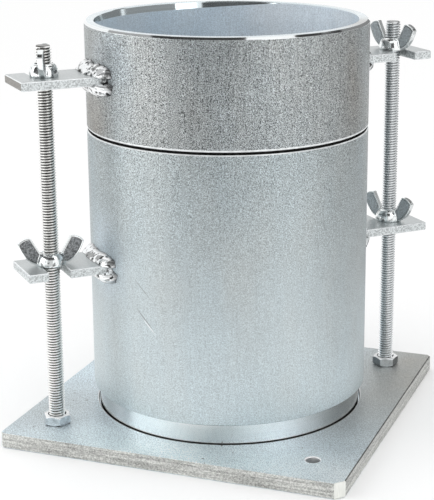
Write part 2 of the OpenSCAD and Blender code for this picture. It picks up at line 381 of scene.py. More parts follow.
def threaded_stud(side):
    """A rod with a helical thread, cut off square and chamfered at both ends."""
    crest, root = PITCH / 8, PITCH * 7 / 16
    profile = [(0, 0), (crest, 0), (root, THREAD_DEPTH), (root + PITCH / 4, THREAD_DEPTH)]
    centre = at_stud(side)
    turns = ceil((STUD_TOP - STUD_BOTTOM) / PITCH) + 2
    bm = bmesh.new()
    steps = []
    for k in range(turns * STUD_SIDES + 1):
        angle = 2 * pi * k / STUD_SIDES
        start = STUD_BOTTOM - 1.5 * PITCH + PITCH * k / STUD_SIDES
        column = []
        for rise, cut in profile:
            z = min(max(start + rise, STUD_BOTTOM), STUD_TOP)
            end = min(z - STUD_BOTTOM, STUD_TOP - z)
            radius = min(STUD_R - cut, STUD_R - STUD_CHAMFER + end)
            column.append(bm.verts.new((*polar(radius, angle, centre), z)))
        steps.append(column)
    for k, (here, there) in enumerate(zip(steps, steps[1:])):
        for j in range(len(profile) - 1):
            bm.faces.new((here[j], there[j], there[j + 1], here[j + 1]))
        if k + STUD_SIDES < len(steps) - 1:
            above, beyond = steps[k + STUD_SIDES], steps[k + STUD_SIDES + 1]
            bm.faces.new((here[-1], there[-1], beyond[0], above[0]))
    bmesh.ops.remove_doubles(bm, verts=bm.verts, dist=1e-6)
    bmesh.ops.dissolve_degenerate(bm, edges=bm.edges, dist=1e-6)
    for z in (STUD_BOTTOM, STUD_TOP):
        cap(bm, [e for e in bm.edges if e.is_boundary and all(abs(v.co.z - z) < 1e-6 for v in e.verts)])
    return finish_mesh("stud_" + side, bm, crease=32)


def lock_nut(side, turn):
    """A hexagon nut: its corners are cut back by a 30 degree cone on both faces."""
    flat_r = NUT_FLATS / 2
    washer_r = flat_r - 0.25 * MM
    bottom, top = heights("lock_nut_" + side)

    def column(angle):
        reach = flat_r / cos((angle + pi / 6) % (pi / 3) - pi / 6)
        drop = (reach - washer_r) * tan(pi / 6)
        return [
            (TAPPED_R, bottom), (washer_r, bottom), (reach, bottom + drop), (reach, top - drop),
            (washer_r, top), (TAPPED_R + NUT_RIM, top), (TAPPED_R, top - NUT_RIM),
        ]
    bm = bmesh.new()
    spin(bm, column, NUT_STEPS, at_stud(side), radians(turn) + pi / 6)
    piece = finish_mesh("hex_nut_" + side, bm, crease=20)
    soften = piece.modifiers.new("soften", "BEVEL")
    soften.width, soften.segments, soften.limit_method = 0.18 * MM, 2, "ANGLE"
    soften.angle_limit = radians(25)
    return weigh_normals(piece)


def lug_outline(opens):
    """A flat bar from the tube to past the stud, seen from above with the stud towards +X."""
    half = opens * LUG_W / 2
    shares = [i / LUG_STEPS for i in range(LUG_STEPS + 1)]
    cope = asin(half / TUBE_R)
    coped = [polar(TUBE_R, cope * (2 * share - 1)) for share in shares]
    slot = [polar(SLOT_R, -opens * pi * (1 - share), (STUD_CIRCLE_R, 0)) for share in shares]
    mouth = [Vector((STUD_CIRCLE_R - SLOT_R, half)), *slot, Vector((STUD_CIRCLE_R + SLOT_R, half))]
    outline = coped + mouth + [Vector((LUG_END, half)), Vector((LUG_END, -half))]
    return outline[::-opens]


def lug(node, side, opens):
    turned = Matrix.Rotation(SIDES[side], 2)
    outline = [turned @ p for p in rounded(lug_outline(opens), 0.35 * MM, steps=2)]
    bm = bmesh.new()
    for ring in wall(bm, outline, *heights(node), LUG_EDGE, LUG_EDGE):
        cap(bm, ring)
    return weigh_normals(finish_mesh(node.replace("lug", "bar"), bm))


def tube_x(y):
    return sqrt(TUBE_R ** 2 - y ** 2)


def weld_path(steps):
    """Points and outward directions round the upper half of a lug's section, across the lug and up."""
    half, drop, turn_r = LUG_W / 2, LUG_THICK / 2, 1.5 * MM
    for i in range(steps + 1):
        y = -half - drop + (LUG_W + 2 * drop) * i / steps
        past = abs(y) - half
        if past > 0:
            yield copysign(half, y), -past, Vector((copysign(1, y), 0)), smoothstep(drop, 0, past)
        else:
            lean = smoothstep(-turn_r * 2, 0, past) * pi / 4
            yield y, 0, Vector((copysign(sin(lean), y), cos(lean))), 1


def weld_bead(node, side, way, seed):
    """A lumpy fillet bead: way is 1 above the lug, and -1 below it."""
    face_steps, path_steps, side_share = 20, 130, 0.3
    size = WELD_SIZES[node.split("_")[1], way]
    root_z = heights(node)[0 if way > 0 else 1]
    turned = Matrix.Rotation(SIDES[side], 3, "Z")
    bm = bmesh.new()
    across = bm.verts.layers.float.new("across")
    rows = []
    for y, drop, outward, full in weld_path(path_steps):
        share = (side_share + (1 - side_share) * full) * size
        wander = noise.noise(Vector((seed, y / (6 * MM), 0)))
        along = WELD_ALONG * share * (0.92 + 0.14 * wander)
        up = WELD_UP * share * (0.92 - 0.2 * wander)
        row = [Vector((tube_x(y) - 0.05 * MM, y, drop - 0.05 * MM * outward.y))]
        for i in range(face_steps + 1):
            t = pi / 2 * (i / face_steps)
            x_part, n_part = cos(t) ** 1.4, sin(t) ** 1.4
            at_y = y + outward.x * up * n_part
            point = Vector((tube_x(at_y) + along * x_part, at_y, drop + outward.y * up * n_part))
            lump = noise.noise(Vector((seed * 7 + point.x / (9 * MM), y / (8 * MM), point.z / (8 * MM))))
            rise = sin(2 * t) * WELD_LUMP * lump
            row.append(point + Vector((0.7, 0.7 * outward.x, 0.7 * outward.y)) * rise)
        rows.append([bm.verts.new(turned @ Vector((p.x, p.y, root_z + way * p.z))) for p in row])
        for i, vertex in enumerate(rows[-1]):
            vertex[across] = max(i - 1, 0) / face_steps
    skin(bm, rows, closed=False)
    bm.faces.new(rows[0])
    bm.faces.new(rows[-1][::-1])
    return finish_mesh(node.replace("weld", "bead"), bm, crease=80)


def wing_outline():
    """Half of the wings' outline, from the hub's foot up inside the hub, and round the wing."""
    foot = Vector((HUB_FOOT_R - HUB_EDGE, HUB_EDGE))
    root = Vector((HUB_TOP_R - 2 * HUB_EDGE, HUB_H - 2 * HUB_EDGE))
    inner_tip = Vector((WING_MOUTH / 2, WING_H))
    outer_tip = Vector((WING_SPAN / 2, WING_TIP_H))
    tip_pull = (inner_tip + outer_tip) / 2 + Vector((0.9, 1.8)) * MM
    edge_pull = Vector((HUB_FOOT_R + 7.3 * MM, 2.2 * MM))
    steps = 10
    tip = [bend(inner_tip, tip_pull, outer_tip, i / steps) for i in range(steps + 1)]
    edge = [bend(outer_tip, edge_pull, foot, i / steps) for i in range(1, steps + 1)]
    return [Vector((STUD_R + HUB_EDGE, foot.y)), Vector((STUD_R + HUB_EDGE, root.y)), root] + tip + edge


def wing_nut_blank():
    """One cast wing nut on the origin, its wings along X, blended into one skin."""
    foot, top = Vector((HUB_FOOT_R, HUB_RIM)), Vector((HUB_TOP_R - 1.3 * MM, HUB_H))
    pull = Vector((HUB_TOP_R + 0.9 * MM, HUB_H - 1 * MM))
    dome = [bend(foot, pull, top, i / 8) for i in range(9)]
    hub = [
        (TAPPED_R, 0), (HUB_FOOT_R - HUB_EDGE, 0), (HUB_FOOT_R, HUB_EDGE), *dome,
        (TAPPED_R + HUB_EDGE, HUB_H), (TAPPED_R, HUB_H - HUB_EDGE),
    ]
    bm = bmesh.new()
    spin(bm, hub, HUB_SIDES)
    for way in (1, -1):
        near, far = ([bm.verts.new((way * p.x, y, p.y)) for p in wing_outline()]
                     for y in (-WING_T / 2, WING_T / 2))
        bm.faces.new(near)
        bm.faces.new(far)
        for i in range(len(near)):
            bm.faces.new((near[i - 1], near[i], far[i], far[i - 1]))
    piece = finish_mesh("wing_nut", bm, crease=180)
    remesh = piece.modifiers.new("remesh", "REMESH")
    remesh.mode, remesh.voxel_size, remesh.use_smooth_shade = "VOXEL", WING_VOXEL, True
    smooth = piece.modifiers.new("smooth", "SMOOTH")
    smooth.factor, smooth.iterations = 0.5, 5
    apply_modifiers(piece)
    for vertex in piece.data.vertices:
        true_up(vertex)
    return piece


def true_up(vertex):
    """Puts the skin back on the tapped bore and on the seat, which the blending has moved."""
    radius = vertex.co.xy.length
    if radius < TAPPED_R + 0.35 * MM and 0 < vertex.co.z < HUB_H - HUB_EDGE:
        vertex.co.xy *= TAPPED_R / radius
    if vertex.co.z < 0.15 * MM:
        vertex.co.z = 0


def off_edge(place, outline):
    """How far a place lies from the nearest line of an outline."""
    nearest = [geometry.intersect_point_line(place, a, b) for a, b in zip(outline, outline[1:])]
    return min((place - point).length for point, share in nearest if -0.1 < share < 1.1)


def mark_wing_faces(piece):
    """Marks each point, from 0 to 1: wing is how far out of the hub it lies, and cast_face how far on a
    wing's rough flat face, inside its rim that handling has polished.
    """
    flat = piece.data.attributes.new("cast_face", "FLOAT", "POINT")
    wing = piece.data.attributes.new("wing", "FLOAT", "POINT")
    outline = wing_outline()[2:]
    for vertex in piece.data.vertices:
        outside = smoothstep(HUB_TOP_R - 0.6 * MM, HUB_TOP_R + 0.8 * MM, abs(vertex.co.x))
        wing.data[vertex.index].value = outside
        if abs(vertex.normal.y) < 0.9 or outside == 0:
            continue
        inside = smoothstep(0.8 * MM, 1.35 * MM, off_edge(Vector((abs(vertex.co.x), vertex.co.z)), outline))
        facing = smoothstep(0.93, 0.995, abs(vertex.normal.y))
        flat.data[vertex.index].value = facing * outside * inside


def wing_nut(blank, node, side):
    centre = at_stud(side)
    mesh = blank.data.copy()
    turn = Matrix.Rotation(wing_direction(node, centre), 4, "Z")
    mesh.transform(Matrix.Translation((*centre, heights(node)[0])) @ turn)
    return placed(node.replace("wing_nut", "winged_nut"), mesh)


def wing_direction(node, centre):
    """The direction of the wings' plane, from the frame's own nut: where its tips are furthest out."""
    points = [v.co.xy - centre for v in frame["nodes"][node].data.vertices]
    reach = max(p.length for p in points)
    tips = [p for p in points if p.length > reach - 0.2 * MM and p.x + 0.03 * p.y > 0]
    middle = sum(tips, Vector((0, 0))) / len(tips)
    return atan2(middle.y, middle.x)


class Look:
    """A surface's look: a principled shader, with short calls for the patterns that drive it."""

    def __init__(self, name, base, roughness, metallic=1):
        self.material = bpy.data.materials.new(name)
        self.material.use_nodes = True
        self.tree = self.material.node_tree
        self.shader = self.tree.nodes["Principled BSDF"]
        self.set({"Base Color": base, "Metallic": metallic, "Roughness": roughness})
        self.place = self.node("ShaderNodeTexCoord", {}, "Object")
        self.raised = None

    def set(self, sockets, node=None):
        """Gives the sockets of a node, or of the shader, their numbers, colours or links."""
        for name, value in sockets.items():
            socket = (node or self.shader).inputs[name]
            if isinstance(value, bpy.types.NodeSocket):
                self.tree.links.new(value, socket)
            else:
                socket.default_value = (*value, 1) if socket.type == "RGBA" else value

    def node(self, kind, sockets, output=0, **settings):
        """Adds a node, and returns one of its outputs."""
        node = self.tree.nodes.new(kind)
        for name, value in settings.items():
            setattr(node, name, value)
        self.set(sockets, node)
        return node.outputs[output]

    def mapped(self, scale, location=(0, 0, 0), rotation=(0, 0, 0), kind="POINT"):
        sockets = {"Vector": self.place, "Scale": scale, "Location": location, "Rotation": rotation}
        return self.node("ShaderNodeMapping", sockets, vector_type=kind)

    def length(self, vector):
        return self.node("ShaderNodeVectorMath", {0: vector}, "Value", operation="LENGTH")

    def radius(self, centre=(0, 0)):
        """How far a point lies from an upright axis."""
        return self.length(self.mapped((1, 1, 0), (-centre[0], -centre[1], 0)))

    def marked(self, name):
        """What the mesh's points are marked with."""
        return self.node("ShaderNodeAttribute", {}, "Fac", attribute_name=name)

    def noise(self, size, detail=2, stretch=(1, 1, 1), roughness=0.5):
        """Noise with features of about that size, drawn out along an axis by stretch."""
        vector = self.mapped([1 / (size * s) for s in stretch])
        sockets = {"Vector": vector, "Scale": 1, "Detail": detail, "Roughness": roughness}
        return self.node("ShaderNodeTexNoise", sockets, "Fac")

    def spread(self, value, low, high, out_low=0, out_high=1, smooth=False):
        """Maps a value from one range to another, and clamps it."""
        sockets = {"Value": value, "From Min": low, "From Max": high, "To Min": out_low, "To Max": out_high}
        kind = "SMOOTHSTEP" if smooth else "LINEAR"
        return self.node("ShaderNodeMapRange", sockets, interpolation_type=kind)

    def patch(self, centre, size, turn=(0, 0, 0)):
        """A soft patch: 1 at its centre, and 0 beyond its size along each of its own axes."""
        away = self.length(self.mapped(size, centre, turn, "TEXTURE"))
        return self.spread(away, 0, 1, 1, 0, smooth=True)

    def stained(self, colour, stains, drift=None):
        """A colour with soft patches over it: each stain is a colour, a place, a size and a strength."""
        for stain, place, size, strength in stains:
            share = self.patch(place, size)
            if drift:
                share = self.times(share, drift)
            colour = self.mix(self.spread(share, 0, 1, 0, strength), colour, stain)
        return colour

    def scratched(self, colour, scratches):
        """A colour with fine scratches: each is its two ends on a round wall, a colour and a strength."""
        for start, end, scratch, strength in scratches:
            middle, along = (Vector(start) + Vector(end)) / 2, Vector(end) - Vector(start)
            outward = Vector((middle.x, middle.y, 0)).normalized()
            axes = along.normalized(), outward.cross(along.normalized()), outward
            turn = Matrix(axes).transposed().to_euler()
            line = self.patch(middle, (along.length / 2, SCRATCH_HALF_W, SCRATCH_REACH), turn)
            colour = self.mix(self.spread(line, 0, 0.5, 0, strength), colour, scratch)
        return colour

    def scale(self, colour, tone, tint=None):
        """A colour made lighter or darker by a tone about 0, and multiplied by a tint."""
        sockets = {0: colour, "Scale": self.spread(tone, -1, 1, 0, 2)}
        scaled = self.node("ShaderNodeVectorMath", sockets, operation="SCALE")
        if tint:
            scaled = self.node("ShaderNodeVectorMath", {0: scaled, 1: tint}, operation="MULTIPLY")
        return scaled

    def sum(self, first, second, weight=1):
        return self.node("ShaderNodeMath", {0: second, 1: weight, 2: first}, operation="MULTIPLY_ADD")

    def times(self, first, second):
        return self.node("ShaderNodeMath", {0: first, 1: second}, operation="MULTIPLY")

    def mix(self, factor, first, second):
        """Blends two colours, given as numbers or as sockets."""
        return self.node("ShaderNodeMix", {0: factor, 6: first, 7: second}, 2, data_type="RGBA")

    def bump(self, height, depth):
        """Raises the surface by up to depth, in metres, over any bump before it."""
        sockets = {"Height": height, "Distance": depth, "Strength": 1}
        if self.raised:
            sockets["Normal"] = self.raised
        self.raised = self.node("ShaderNodeBump", sockets)
        self.set({"Normal": self.raised})

    def turned(self, amount):
        """Draws reflections out across the marks of a lathe, which run round the tube's axis."""
        tangent = self.node("ShaderNodeTangent", {}, direction_type="RADIAL", axis="Z")
        self.set({"Anisotropic": amount, "Anisotropic Rotation": 0.25, "Tangent": tangent})

    def done(self, colour, roughness=None):
        """Gives the shader its patterns, and returns the material."""
        self.set({"Base Color": colour})
        if roughness:
            self.set({"Roughness": roughness})
        return self.material


def shade(colour, factor):
    return tuple(min(c * factor, 1) for c in colour)


def grained_zinc(name, span, colours, roughness, grain, size, draw, stains=(), scratches=(), metallic=1):
    """Zinc plating on rolled or drawn steel: fine grain, faint lines drawn upwards, wide cloudy patches.

    The colours and the grain's strength are given at both ends of the span of heights, and the grain
    changes over its upper half. Draw is the strength of the lines.
    """
    look = Look(name, colours[0], roughness, metallic)
    rise = look.spread(look.node("ShaderNodeSeparateXYZ", {"Vector": look.place}, "Z"), *span)
    fine = look.noise(size, roughness=0.6)
    lines = look.noise(0.8 * MM, detail=1, stretch=(1, 1, 20))
    cloud = look.noise(22 * MM, detail=3)
    warmth = look.noise(30 * MM, stretch=(1, 1, 3))
    colour = look.stained(look.mix(rise, *colours), stains, look.spread(cloud, 0.25, 0.6, 0.5, 1))
    speckle = look.times(look.spread(fine, *NARROW, -1, 1), look.spread(rise, 0.5, 1, *grain))
    tone = look.sum(speckle, look.spread(lines, *WIDE, -1, 1), draw)
    tone = look.sum(tone, look.spread(cloud, *WIDE, -1, 1), 0.03)
    tint = look.mix(look.spread(warmth, *NARROW), (1.015, 0.99, 0.975), (0.99, 1, 1.01))
    look.bump(fine, 0.025 * size)
    look.bump(lines, 0.012 * MM)
    return look.done(look.scratched(look.scale(colour, tone, tint), scratches),
                     look.spread(cloud, *WIDE, roughness - 0.04, roughness + 0.05))


def turned_zinc(name, base, roughness, stains=()):
    """A surface cut on the lathe: bright, with fine rings, and reflections drawn out across them."""
    look = Look(name, base, roughness)
    rings = look.noise(0.35 * MM, stretch=(200, 200, 1))
    cloud = look.noise(16 * MM)
    ringed = look.mix(look.spread(rings, *WIDE), shade(base, 0.93), shade(base, 1.05))
    look.bump(rings, 0.004 * MM)
    look.turned(0.5)
    return look.done(look.stained(ringed, stains, look.spread(cloud, 0.25, 0.6, 0.7, 1)),
                     look.spread(cloud, *NARROW, roughness - 0.03, roughness + 0.04))


def rim_zinc(base):
    """The collar's flat rim, faced on the lathe: the rings run round the axis at each radius."""
    look = Look("faced_rim", base, 0.24)
    # A painted dark reflection over one part of the rim
    dark_reflection = look.patch(on_tube(137, COLLAR_TOP), (0.035, 0.035, 0.035))
    sockets = {"W": look.radius(), "Scale": 1 / (0.3 * MM)}
    rings = look.node("ShaderNodeTexNoise", sockets, "Fac", noise_dimensions="1D")
    tone = look.sum(rings, look.noise(9 * MM), 0.8)
    faced = look.mix(look.spread(tone, 0.6, 1.2), shade(base, 0.85), shade(base, 1.1))
    look.bump(rings, 0.006 * MM)
    look.turned(0.6)
    return look.done(look.mix(dark_reflection, faced, (0.45, 0.46, 0.45)))


def plate_face():
    """The plate's broad faces: cold rolled and plated, with a fine grain, clouds and a few dark pits."""
    cool, pale, white, warm = (0.675, 0.77, 0.825), (0.84, 0.97, 1), (0.93, 0.98, 1), (0.41, 0.4, 0.37)
    look = Look("plated_plate", cool, 0.5, metallic=0.7)
    fine = look.noise(0.6 * MM, detail=1, stretch=(1, 1.6, 1))
    cloud = look.noise(26 * MM, detail=3)
    plated = look.stained(cool, [
        # Painted reflection of the tube, on the plate in front of its foot
        (pale, on_plate(0.1, -1.05), (0.14, 0.055, 0.05), 1),
        (white, on_plate(0.95, -0.95), (0.06, 0.05, 0.05), 0.6),
        (warm, on_plate(0.98, 0.7), (0.085, 0.2, 0.06), 1),
        (warm, on_plate(-0.9, -0.6), (0.06, 0.07, 0.05), 0.45),
    ], look.spread(cloud, *WIDE, 0.82, 1))
    tone = look.sum(look.spread(cloud, *WIDE, -0.08, 0.08), look.spread(fine, *NARROW, -1, 1), 0.26)
    pits = look.spread(look.noise(2.6 * MM, detail=1), 0.745, 0.79, smooth=True)
    look.bump(fine, 0.03 * MM)
    return look.done(look.mix(pits, look.scale(plated, tone), (0.16, 0.16, 0.15)),
                     look.spread(cloud, *WIDE, 0.46, 0.56))


def sheared_edge():
    """The plate's edges: cut and plated over, a little warm, mottled, with faint layers along them."""
    base = (0.57, 0.575, 0.555)
    look = Look("sheared_edge", base, 0.5)
    mottle = look.noise(0.65 * MM, detail=1, stretch=(1.4, 1.4, 1))
    layers = look.noise(1.3 * MM, detail=1, stretch=(28, 28, 1))
    look.bump(mottle, 0.06 * MM)
    mottled = look.spread(mottle, *NARROW, -0.27, 0.27)
    return look.done(look.scale(base, look.sum(mottled, look.spread(layers, *NARROW, -1, 1), 0.2)))


def ground_corner():
    """The facet that is ground on one corner of the plate: pale, with fine upright scratches."""
    base = (0.86, 0.87, 0.83)
    look = Look("ground_corner", base, 0.42)
    scratches = look.noise(0.5 * MM, stretch=(1, 1, 12))
    look.bump(scratches, 0.01 * MM)
    return look.done(look.scale(base, look.spread(scratches, *WIDE, -0.06, 0.06)))


def clouded(name, size, low, high, roughness, metallic=1):
    """A plain metal between two colours, in soft clouds."""
    look = Look(name, low, roughness, metallic)
    return look, look.mix(look.spread(look.noise(size), *NARROW), low, high)


def shaded_line():
    """The plate's upper edges away from its front: a narrow bevel painted dark as a line of shade."""
    look, colour = clouded("shaded_bevel", 3 * MM, (0.1, 0.1, 0.1), (0.24, 0.24, 0.23), 0.5)
    return look.done(colour)


def worn_and_highlight_zinc(name, base, roughness):
    """A narrow edge that handling has made pale, painted paler still as a highlight."""
    look, colour = clouded(name, 3 * MM, shade(base, 0.85), shade(base, 1.08), roughness, 0.3)
    return look.done(colour)


def grime_and_painted_shade():
    """Near black, for the depths of the joints, dark with old oil and soil and painted shade, and for painted
    shade under the lock nuts, round their threads, on the tube's foot below the plate's top and in the
    collar's rebate.
    """
    look, colour = clouded("grime_and_painted_shade", 2 * MM, (0.008, 0.008, 0.008), (0.03, 0.03, 0.028), 0.7, 0)
    look.set({"Specular IOR Level": 0.1})
    return look.done(colour)


def drilled_wall():
    """The wall of a drilled hole: dull metal, with faint rings, and a painted pool of light on its far side.
    """
    look = Look("drilled_wall", (0.5, 0.52, 0.53), 0.3, metallic=0.5)
    rings = look.noise(0.5 * MM, stretch=(60, 60, 1))
    dull = look.mix(look.spread(rings, *WIDE), (0.42, 0.44, 0.45), (0.62, 0.64, 0.65))
    hole = free_hole("left")
    # Painted light: a white patch on the far wall, where light falls into the hole
    place = (hole.x - 0.6 * MM, hole.y + CORNER_HOLE_R, PLATE_TOP)
    return look.done(look.stained(dull, [((1, 1, 1), place, (3.2 * MM, 3.2 * MM, 4 * MM), 1)]))


def bar_face(name, base, roughness, grain, depth):
    """Plated flat bar: a grain, and soft clouds."""
    look = Look(name, base, roughness, metallic=0.7)
    fine = look.noise(0.85 * MM, detail=1)
    cloud = look.noise(11 * MM)
    speckled = look.mix(look.spread(fine, *NARROW), shade(base, 1 - grain), shade(base, 1 + grain))
    cloudy = look.mix(look.spread(cloud, *WIDE), shade(base, 0.88), shade(base, 1.1))
    look.bump(fine, depth)
    return look.done(look.mix(0.35, speckled, cloudy),
                     look.spread(cloud, *WIDE, roughness - 0.05, roughness + 0.05))


def bright_zinc(name, base):
    """The plating of a lock nut's flats, a lit copy on the left nut and a shaded copy on the right, and of
    the one flat painted bright as a highlight.
    """
    look = Look(name, base, 0.16)
    cloud = look.noise(2.5 * MM, detail=3)
    look.bump(cloud, 0.03 * MM)
    return look.done(look.mix(look.spread(cloud, *NARROW), shade(base, 0.78), shade(base, 1.1)),
                     look.spread(cloud, *NARROW, 0.11, 0.24))


def thread_zinc(side, crest, root, roughness):
    """Plated thread: bright on the crests, and painted dark at the root as the shade in the groove."""
    look = Look("thread_zinc_" + side, crest, roughness)
    height = look.spread(look.radius(at_stud(side)), STUD_R - 0.97 * MM, STUD_R - 0.6 * MM)
    grime_and_shade = look.noise(3 * MM, detail=3)
    # Painted shade at the thread's root; a noise moves where it starts and varies the roughness
    return look.done(look.mix(look.spread(look.sum(height, grime_and_shade, 0.3), 0.15, 0.7), root, crest),
                     look.spread(grime_and_shade, *WIDE, roughness - 0.06, roughness + 0.08))


def weld_metal():
    """Weld beads under bright plating: glossy, with dark patches painted as reflections, a band of painted
    shade towards the tube, dark pits and near black along both toes.
    """
    base = (0.95, 0.97, 0.98)
    look = Look("weld_metal", base, 0.13, metallic=0.75)
    cloud = look.noise(4.6 * MM, detail=1)
    pits = look.noise(2.6 * MM, detail=1)
    across = look.marked("across")
    # Dark patches painted as reflections of dark surroundings
    plated = look.mix(look.spread(cloud, 0.38, 0.44, smooth=True), (0.34, 0.35, 0.35), base)
    for share, colour in (
        # Painted shade towards the tube, then near black along both toes
        (look.spread(across, 0.66, 0.86, 0, 0.7), (0.15, 0.155, 0.16)),
        (look.spread(pits, 0.61, 0.64, smooth=True), NEAR_BLACK),
        (look.spread(across, 0.92, 0.98), NEAR_BLACK),
        (look.spread(across, 0.08, 0.02), NEAR_BLACK),
    ):
        plated = look.mix(share, plated, colour)
    return look.done(plated, look.spread(cloud, *NARROW, 0.16, 0.07))


def cast_nut(side, cast, speckle):
    """A wing nut: bright where wear or turning has polished it, with dark spots on the hub painted as
    reflections, dull on the wings' cast faces, and a black line along their edges.
    """
    wear_and_highlight = (0.92, 0.95, 0.96)
    look = Look("cast_wing_nut_" + side, wear_and_highlight, 0.14)
    mark = look.marked("cast_face")
    wing = look.marked("wing")
    grain = look.noise(1 * MM, roughness=0.7)
    cloud = look.noise(2.4 * MM)
    dull = look.mix(look.spread(grain, *NARROW), shade(cast, 1 - speckle), shade(cast, 1 + speckle))
    # Dark spots painted as reflections on the hub
    reflection_spots = look.mix(look.spread(cloud, 0.36, 0.5, smooth=True), shade(wear_and_highlight, 0.35), shade(wear_and_highlight, 1.05))
    bright = look.mix(wing, reflection_spots, shade(wear_and_highlight, 1.05))
    edged = look.mix(look.spread(mark, 0.05, 0.3), bright, (0.04, 0.04, 0.04))
    look.bump(look.times(grain, mark), 0.12 * MM)
    return look.done(look.mix(look.spread(mark, 0.45, 0.8), edged, dull),
                     look.spread(mark, 0, 1, 0.13, 0.45))


def dress(piece, materials, body, node, rule=None):
    """Paints a piece, where the rule picks a face's material from its centre and normal, hangs it on its body
    and hides the frame's own part.
    """
    for material in materials:
        piece.data.materials.append(material)
    for face in piece.data.polygons if rule else ():
        face.material_index = rule(face.center, face.normal)
    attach(piece, body)
    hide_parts(node)


def plate_rule(centre, normal):
    """The plate's edges are material 1, the recess 2, the upper bevel away from the front, painted dark as
    shade, 3, the walls of free corner holes 4, the ground corner 5, and the bright lips of the recess and of
    those holes, pale with wear and painted highlight, 6.
    """
    radius = centre.xy.length
    if radius < RECESS_R + LIP and centre.z > TUBE_BOTTOM - 0.1 * MM:
        return 6 if radius > RECESS_R + 0.02 * MM and normal.z < 0.98 else 2
    for side in SIDES:
        if (centre.xy - free_hole(side)).length < CORNER_HOLE_R + HOLE_LIP and normal.z < 0.97:
            return 4 if abs(normal.z) < 0.1 else 6
    if centre.x - centre.y > 2 * PLATE_HALF - CORNER_CUT - 0.5 * MM and abs(normal.z) < 0.9:
        return 5
    reach = PLATE_HALF - 0.6 * MM
    x, y = abs(centre.x), abs(centre.y)
    if max(x, y) < reach and x + y < reach + PLATE_HALF - CORNER_CUT:
        return 0
    if 0.3 < normal.z < 0.98 and max(centre.x, centre.y) > reach:
        return 3
    return 1 if abs(normal.z) < 0.5 else 0


def in_seam(centre):
    return abs(centre.z - SEAM_Z) < SEAM_GAP / 2 + 0.05 * MM and centre.xy.length < TUBE_R - 0.5 * WORN_EDGE


def tube_rule(centre, normal):
    """The turned foot is material 1, the bore 2, the upper edge, pale with wear and painted highlight, 3, and
    the depth of the joints and the foot below the plate's top, near black with painted shade, 4.
    """
    radius = centre.xy.length
    if radius < BORE_R + 0.02 * MM:
        return 2
    if in_seam(centre) or centre.z < PLATE_TOP + PAINTED_SHADE_RISE:
        return 4
    if centre.z > GROOVE_LOW - WORN_EDGE - 0.1 * MM:
        return 3
    plain = centre.z > FOOT_TOP - 0.1 * MM and radius > REGISTER_R + 0.3 * MM
    return 0 if plain and abs(normal.z) < 0.9 else 1


def collar_rule(centre, normal):
    """The rim is material 1, the cone in it 2, the bore 3, the edges, pale with wear and painted highlight,
    4, the joint's depth and the rebate, near black with painted shade, 5, and the chamfer 6.
    """
    radius = centre.xy.length
    if centre.z > COLLAR_TOP - 0.1 * MM and normal.z > 0.9:
        return 1
    if centre.z > COLLAR_TOP - RIM_CHAMFER - 0.1 * MM and radius > TUBE_R - RIM_CHAMFER - 0.1 * MM:
        return 6
    if radius < BORE_R + 0.02 * MM:
        return 3
    if in_seam(centre) or radius < REGISTER_R + 0.5 * MM and centre.z < TUBE_TOP:
        return 5
    if radius < TUBE_R - EDGE_BREAK - 0.1 * MM:
        return 2
    return 0 if centre.z > GROOVE_HIGH + WORN_EDGE + WORN_BAND else 4


def nut_rule(side, highlight_way):
    """A lock nut's flats are material 0, the one flat that is painted bright as a highlight 1, its top,
    which is also painted pale as a highlight, 2, and its underside and the rim of its thread, painted dark as
    shade, 3.
    """
    # The direction of the one flat that is painted bright as a highlight
    highlight_flat, middle = polar(1, highlight_way).to_3d(), at_stud(side)

    def pick(centre, normal):
        if (centre.xy - middle).length < TAPPED_R + NUT_RIM + 0.05 * MM or normal.z < -0.3:
            return 3
        if normal.z > 0.3:
            return 2
        return 1 if normal.dot(highlight_flat) > 0.9 else 0
    return pick


def bar_rule(centre, normal):
    """A bar's broad faces are material 0, its cut sides 1, and its edges, pale with wear and painted
    highlight, 2.
    """
    if abs(normal.z) > 0.98:
        return 0
    return 1 if abs(normal.z) < 0.2 else 2


def dark_end_rule(side):
    """As bar_rule, but the bar's far end is material 3."""
    outward = polar(1, SIDES[side]).to_3d()
    return lambda centre, normal: 3 if normal.dot(outward) > 0.98 else bar_rule(centre, normal)


def make_base(grime_and_shade):
    turned = turned_zinc("recess_zinc", TURNED_ZINC, 0.28)
    # The lips and the lock nuts' tops: pale with wear, and painted paler as highlights
    lip = worn_and_highlight_zinc("lip_wear_and_highlight", shade(WORN_AND_HIGHLIGHT_ZINC, 1.08), 0.22)
    finishes = [plate_face(), sheared_edge(), turned, shaded_line(), drilled_wall(), ground_corner(), lip]
    dress(base_plate(), finishes, "base", "base_plate", plate_rule)
    # One flat of each lock nut is painted bright as a highlight
    highlight_flat = bright_zinc("highlight_zinc", (0.84, 0.88, 0.91))
    # The two studs and the two lock nuts are alike: their colours differ left to right only as painted light
    # and shade, with bright flats and deep-shaded roots on the left and dark flats on the right
    for side, turn, flats, thread in (
        ("left", 5.4, (0.82, 0.86, 0.9), ((0.98, 0.98, 0.97), (0.08, 0.078, 0.072), 0.22)),
        ("right", 21.2, (0.3, 0.32, 0.335), ((0.97, 0.99, 1), (0.34, 0.35, 0.355), 0.26)),
    ):
        dress(threaded_stud(side), [thread_zinc(side, *thread)], "base", "stud_" + side)
        nut_finishes = [bright_zinc("bright_zinc_" + side, flats), highlight_flat, lip, grime_and_shade]
        rule = nut_rule(side, radians(turn + 270))
        dress(lock_nut(side, turn), nut_finishes, "base", "lock_nut_" + side, rule)


